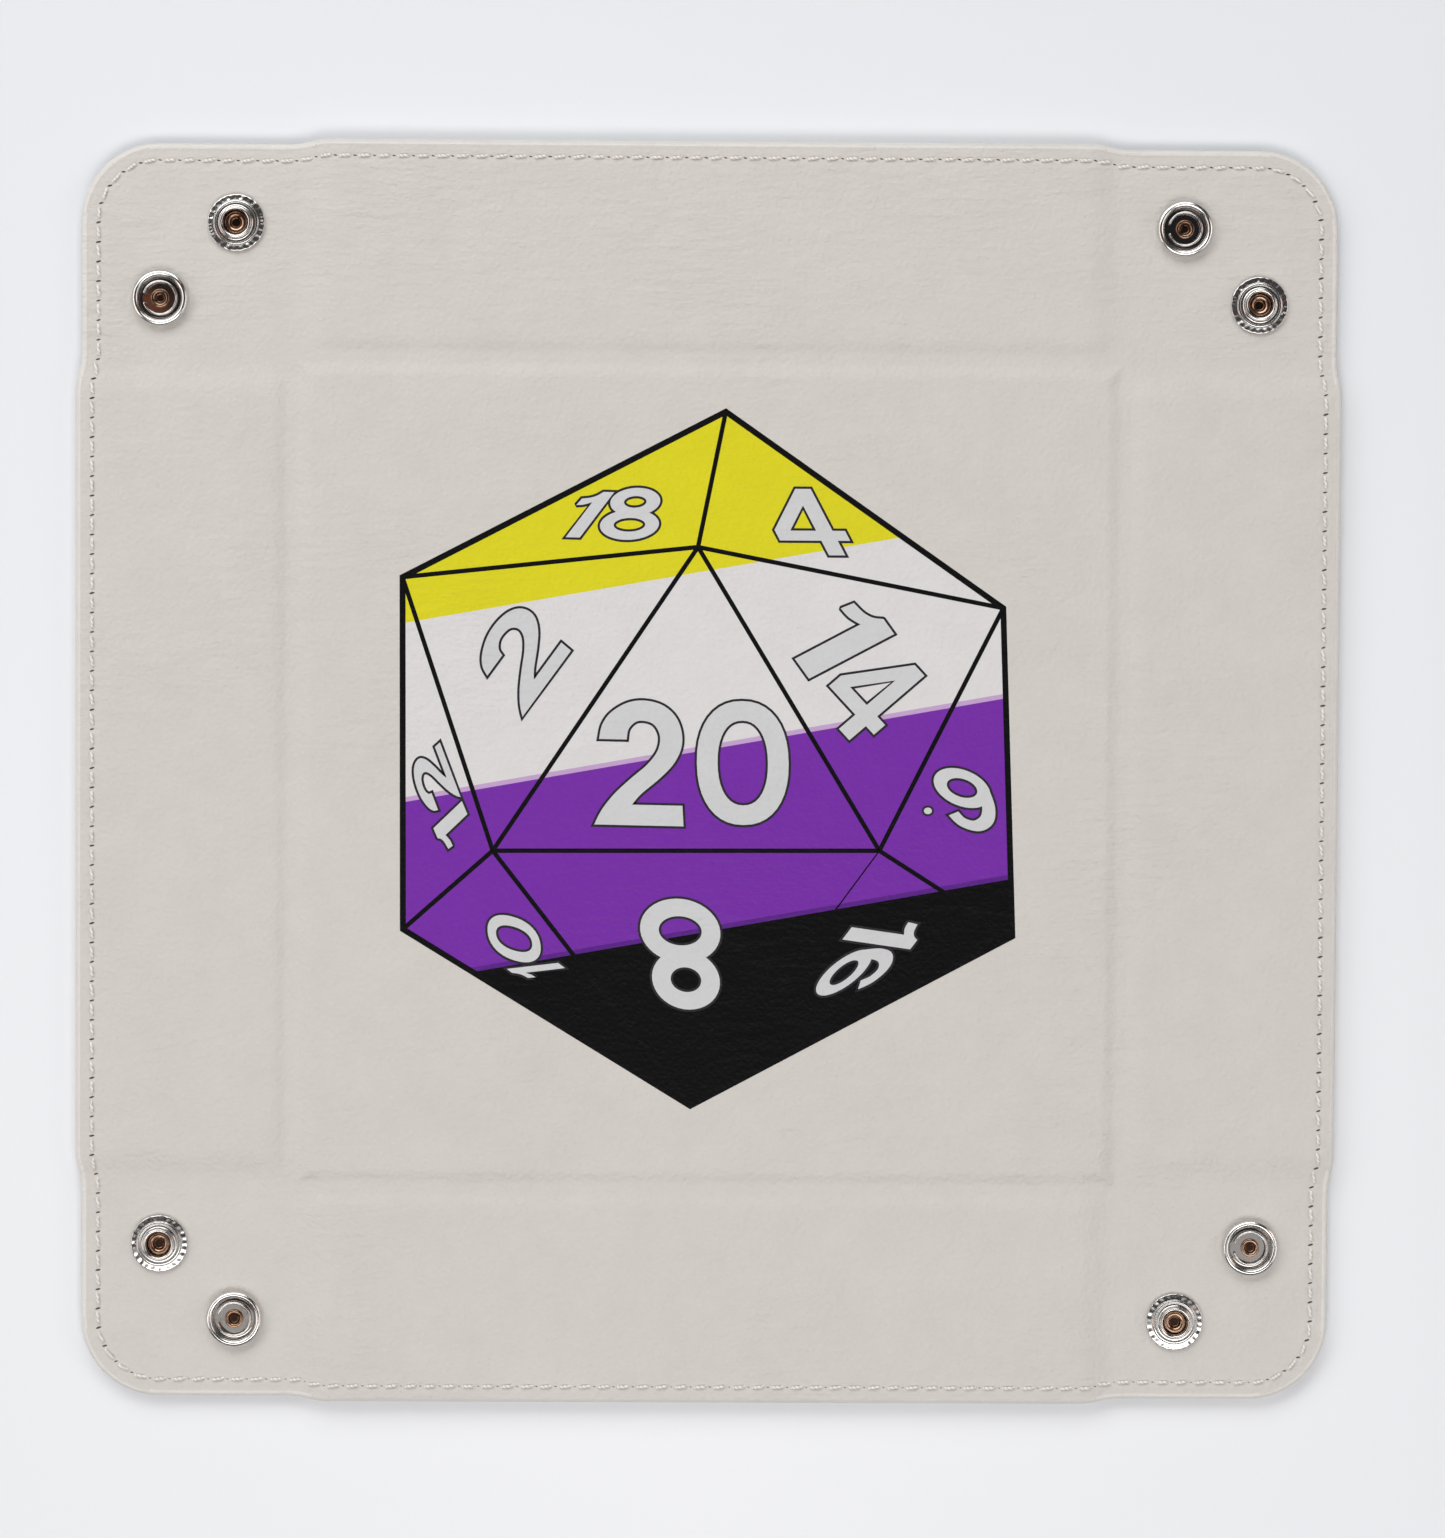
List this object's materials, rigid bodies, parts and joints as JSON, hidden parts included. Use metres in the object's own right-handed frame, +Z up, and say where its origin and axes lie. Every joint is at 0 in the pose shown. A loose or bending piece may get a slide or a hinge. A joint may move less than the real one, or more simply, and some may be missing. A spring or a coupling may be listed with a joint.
{
  "type": "folding dice tray",
  "caption": "Square folding dice tray in off-white leatherette over boards, printed with a twenty-sided die, with soft corners that pinch together and snap to stand the walls up.",
  "frame": {"origin": "middle of the face that the flat tray rests on", "axes": "+Z up, out of the printed face; +Y towards the top edge of the print; +X towards the right of the print"},
  "size_m": [0.267, 0.267, 0.0054],
  "materials": {
    "top_leatherette": "embossed off-white leatherette, die print on the middle panel",
    "under_leatherette": "embossed off-white leatherette, plain",
    "board": "grey-brown stiffener board, hidden",
    "nickel": "polished nickel plate on pressed brass",
    "spring_steel": "bright drawn wire",
    "thread": "twisted polyester sewing thread"
  },
  "bodies": {
    "base": {"base_printed_cover": "top_leatherette", "base_under_cover": "under_leatherette", "base_board": "board"},
    "north_flap": {"north_flap_top_cover": "top_leatherette", "north_flap_under_cover": "under_leatherette", "north_flap_board": "board", "north_flap_stitching": "thread"},
    "east_flap": {"east_flap_top_cover": "top_leatherette", "east_flap_under_cover": "under_leatherette", "east_flap_board": "board", "east_flap_stitching": "thread"},
    "south_flap": {"south_flap_top_cover": "top_leatherette", "south_flap_under_cover": "under_leatherette", "south_flap_board": "board", "south_flap_stitching": "thread"},
    "west_flap": {"west_flap_top_cover": "top_leatherette", "west_flap_under_cover": "under_leatherette", "west_flap_board": "board", "west_flap_stitching": "thread"},
    "north_west_stud_web": {"north_west_corner_stud_web": "top_leatherette"},
    "north_west_stud_ear": {"north_west_corner_stud_ear": "top_leatherette", "north_west_snap_stud": "nickel", "north_west_snap_stud_cap": "nickel"},
    "north_west_socket_web": {"north_west_corner_socket_web": "top_leatherette"},
    "north_west_socket_ear": {"north_west_corner_socket_ear": "top_leatherette", "north_west_snap_socket": "nickel", "north_west_snap_socket_cap": "nickel", "north_west_snap_socket_spring": "spring_steel"},
    "north_west_pinch_strip": {"north_west_corner_pinch_strip": "top_leatherette"},
    "north_east_stud_web": {"north_east_corner_stud_web": "top_leatherette"},
    "north_east_stud_ear": {"north_east_corner_stud_ear": "top_leatherette", "north_east_snap_stud": "nickel", "north_east_snap_stud_cap": "nickel"},
    "north_east_socket_web": {"north_east_corner_socket_web": "top_leatherette"},
    "north_east_socket_ear": {"north_east_corner_socket_ear": "top_leatherette", "north_east_snap_socket": "nickel", "north_east_snap_socket_cap": "nickel", "north_east_snap_socket_spring": "spring_steel"},
    "north_east_pinch_strip": {"north_east_corner_pinch_strip": "top_leatherette"},
    "south_east_stud_web": {"south_east_corner_stud_web": "top_leatherette"},
    "south_east_stud_ear": {"south_east_corner_stud_ear": "top_leatherette", "south_east_snap_stud": "nickel", "south_east_snap_stud_cap": "nickel"},
    "south_east_socket_web": {"south_east_corner_socket_web": "top_leatherette"},
    "south_east_socket_ear": {"south_east_corner_socket_ear": "top_leatherette", "south_east_snap_socket": "nickel", "south_east_snap_socket_cap": "nickel", "south_east_snap_socket_spring": "spring_steel"},
    "south_east_pinch_strip": {"south_east_corner_pinch_strip": "top_leatherette"},
    "south_west_stud_web": {"south_west_corner_stud_web": "top_leatherette"},
    "south_west_stud_ear": {"south_west_corner_stud_ear": "top_leatherette", "south_west_snap_stud": "nickel", "south_west_snap_stud_cap": "nickel"},
    "south_west_socket_web": {"south_west_corner_socket_web": "top_leatherette"},
    "south_west_socket_ear": {"south_west_corner_socket_ear": "top_leatherette", "south_west_snap_socket": "nickel", "south_west_snap_socket_cap": "nickel", "south_west_snap_socket_spring": "spring_steel"},
    "south_west_pinch_strip": {"south_west_corner_pinch_strip": "top_leatherette"}
  },
  "joints": [
    {"name": "north_flap_fold", "type": "hinge", "parent": "base", "child": "north_flap", "pos_m": [0, 0.0878, 0.0019], "axis": [1, 0, 0], "range_deg": [0, 68]},
    {"name": "east_flap_fold", "type": "hinge", "parent": "base", "child": "east_flap", "pos_m": [0.0878, 0, 0.0019], "axis": [0, -1, 0], "range_deg": [0, 68]},
    {"name": "south_flap_fold", "type": "hinge", "parent": "base", "child": "south_flap", "pos_m": [0, -0.0878, 0.0019], "axis": [-1, 0, 0], "range_deg": [0, 68]},
    {"name": "west_flap_fold", "type": "hinge", "parent": "base", "child": "west_flap", "pos_m": [-0.0878, 0, 0.0019], "axis": [0, 1, 0], "range_deg": [0, 68]},
    {"name": "north_west_stud_web_fold", "type": "hinge", "parent": "north_flap", "child": "north_west_stud_web", "pos_m": [-0.0838, 0.1078, 0.0019], "axis": [0, 1, 0], "range_deg": [0, 42.84]},
    {"name": "north_west_stud_ear_fold", "type": "hinge", "parent": "north_west_stud_web", "child": "north_west_stud_ear", "pos_m": [-0.08954, 0.10709, 0.0019], "axis": [-0.2649, 0.9643, 0], "range_deg": [-90, 0]},
    {"name": "north_west_socket_web_fold", "type": "hinge", "parent": "west_flap", "child": "north_west_socket_web", "pos_m": [-0.1078, 0.0838, 0.0019], "axis": [1, 0, 0], "range_deg": [0, 42.84]},
    {"name": "north_west_socket_ear_fold", "type": "hinge", "parent": "north_west_socket_web", "child": "north_west_socket_ear", "pos_m": [-0.10709, 0.08954, 0.0019], "axis": [0.9643, -0.2649, 0], "range_deg": [-90, 0]},
    {"name": "north_west_pinch_fold", "type": "hinge", "parent": "north_west_stud_ear", "child": "north_west_pinch_strip", "pos_m": [-0.10025, 0.10364, 0.0019], "axis": [-0.7071, 0.7071, 0], "range_deg": [0, 90]},
    {"name": "north_east_stud_web_fold", "type": "hinge", "parent": "east_flap", "child": "north_east_stud_web", "pos_m": [0.1078, 0.0838, 0.0019], "axis": [1, 0, 0], "range_deg": [0, 42.84]},
    {"name": "north_east_stud_ear_fold", "type": "hinge", "parent": "north_east_stud_web", "child": "north_east_stud_ear", "pos_m": [0.10709, 0.08954, 0.0019], "axis": [0.9643, 0.2649, 0], "range_deg": [-90, 0]},
    {"name": "north_east_socket_web_fold", "type": "hinge", "parent": "north_flap", "child": "north_east_socket_web", "pos_m": [0.0838, 0.1078, 0.0019], "axis": [0, -1, 0], "range_deg": [0, 42.84]},
    {"name": "north_east_socket_ear_fold", "type": "hinge", "parent": "north_east_socket_web", "child": "north_east_socket_ear", "pos_m": [0.08954, 0.10709, 0.0019], "axis": [-0.2649, -0.9643, 0], "range_deg": [-90, 0]},
    {"name": "north_east_pinch_fold", "type": "hinge", "parent": "north_east_stud_ear", "child": "north_east_pinch_strip", "pos_m": [0.10364, 0.10025, 0.0019], "axis": [0.7071, 0.7071, 0], "range_deg": [0, 90]},
    {"name": "south_east_stud_web_fold", "type": "hinge", "parent": "south_flap", "child": "south_east_stud_web", "pos_m": [0.0838, -0.1078, 0.0019], "axis": [0, -1, 0], "range_deg": [0, 42.84]},
    {"name": "south_east_stud_ear_fold", "type": "hinge", "parent": "south_east_stud_web", "child": "south_east_stud_ear", "pos_m": [0.08954, -0.10709, 0.0019], "axis": [0.2649, -0.9643, 0], "range_deg": [-90, 0]},
    {"name": "south_east_socket_web_fold", "type": "hinge", "parent": "east_flap", "child": "south_east_socket_web", "pos_m": [0.1078, -0.0838, 0.0019], "axis": [-1, 0, 0], "range_deg": [0, 42.84]},
    {"name": "south_east_socket_ear_fold", "type": "hinge", "parent": "south_east_socket_web", "child": "south_east_socket_ear", "pos_m": [0.10709, -0.08954, 0.0019], "axis": [-0.9643, 0.2649, 0], "range_deg": [-90, 0]},
    {"name": "south_east_pinch_fold", "type": "hinge", "parent": "south_east_stud_ear", "child": "south_east_pinch_strip", "pos_m": [0.10025, -0.10364, 0.0019], "axis": [0.7071, -0.7071, 0], "range_deg": [0, 90]},
    {"name": "south_west_stud_web_fold", "type": "hinge", "parent": "west_flap", "child": "south_west_stud_web", "pos_m": [-0.1078, -0.0838, 0.0019], "axis": [-1, 0, 0], "range_deg": [0, 42.84]},
    {"name": "south_west_stud_ear_fold", "type": "hinge", "parent": "south_west_stud_web", "child": "south_west_stud_ear", "pos_m": [-0.10709, -0.08954, 0.0019], "axis": [-0.9643, -0.2649, 0], "range_deg": [-90, 0]},
    {"name": "south_west_socket_web_fold", "type": "hinge", "parent": "south_flap", "child": "south_west_socket_web", "pos_m": [-0.0838, -0.1078, 0.0019], "axis": [0, 1, 0], "range_deg": [0, 42.84]},
    {"name": "south_west_socket_ear_fold", "type": "hinge", "parent": "south_west_socket_web", "child": "south_west_socket_ear", "pos_m": [-0.08954, -0.10709, 0.0019], "axis": [0.2649, 0.9643, 0], "range_deg": [-90, 0]},
    {"name": "south_west_pinch_fold", "type": "hinge", "parent": "south_west_stud_ear", "child": "south_west_pinch_strip", "pos_m": [-0.10364, -0.10025, 0.0019], "axis": [-0.7071, -0.7071, 0], "range_deg": [0, 90]}
  ],
  "couplings": [
    {"joint": "east_flap_fold", "follows": "north_flap_fold", "ratio": 1},
    {"joint": "south_flap_fold", "follows": "north_flap_fold", "ratio": 1},
    {"joint": "west_flap_fold", "follows": "north_flap_fold", "ratio": 1},
    {"joint": "north_west_stud_web_fold", "follows": "north_flap_fold", "ratio": 0.62994},
    {"joint": "north_west_stud_ear_fold", "follows": "north_flap_fold", "ratio": -1.3235},
    {"joint": "north_west_socket_web_fold", "follows": "north_flap_fold", "ratio": 0.62994},
    {"joint": "north_west_socket_ear_fold", "follows": "north_flap_fold", "ratio": -1.3235},
    {"joint": "north_west_pinch_fold", "follows": "north_flap_fold", "ratio": 1.3235},
    {"joint": "north_east_stud_web_fold", "follows": "north_flap_fold", "ratio": 0.62994},
    {"joint": "north_east_stud_ear_fold", "follows": "north_flap_fold", "ratio": -1.3235},
    {"joint": "north_east_socket_web_fold", "follows": "north_flap_fold", "ratio": 0.62994},
    {"joint": "north_east_socket_ear_fold", "follows": "north_flap_fold", "ratio": -1.3235},
    {"joint": "north_east_pinch_fold", "follows": "north_flap_fold", "ratio": 1.3235},
    {"joint": "south_east_stud_web_fold", "follows": "north_flap_fold", "ratio": 0.62994},
    {"joint": "south_east_stud_ear_fold", "follows": "north_flap_fold", "ratio": -1.3235},
    {"joint": "south_east_socket_web_fold", "follows": "north_flap_fold", "ratio": 0.62994},
    {"joint": "south_east_socket_ear_fold", "follows": "north_flap_fold", "ratio": -1.3235},
    {"joint": "south_east_pinch_fold", "follows": "north_flap_fold", "ratio": 1.3235},
    {"joint": "south_west_stud_web_fold", "follows": "north_flap_fold", "ratio": 0.62994},
    {"joint": "south_west_stud_ear_fold", "follows": "north_flap_fold", "ratio": -1.3235},
    {"joint": "south_west_socket_web_fold", "follows": "north_flap_fold", "ratio": 0.62994},
    {"joint": "south_west_socket_ear_fold", "follows": "north_flap_fold", "ratio": -1.3235},
    {"joint": "south_west_pinch_fold", "follows": "north_flap_fold", "ratio": 1.3235}
  ]
}
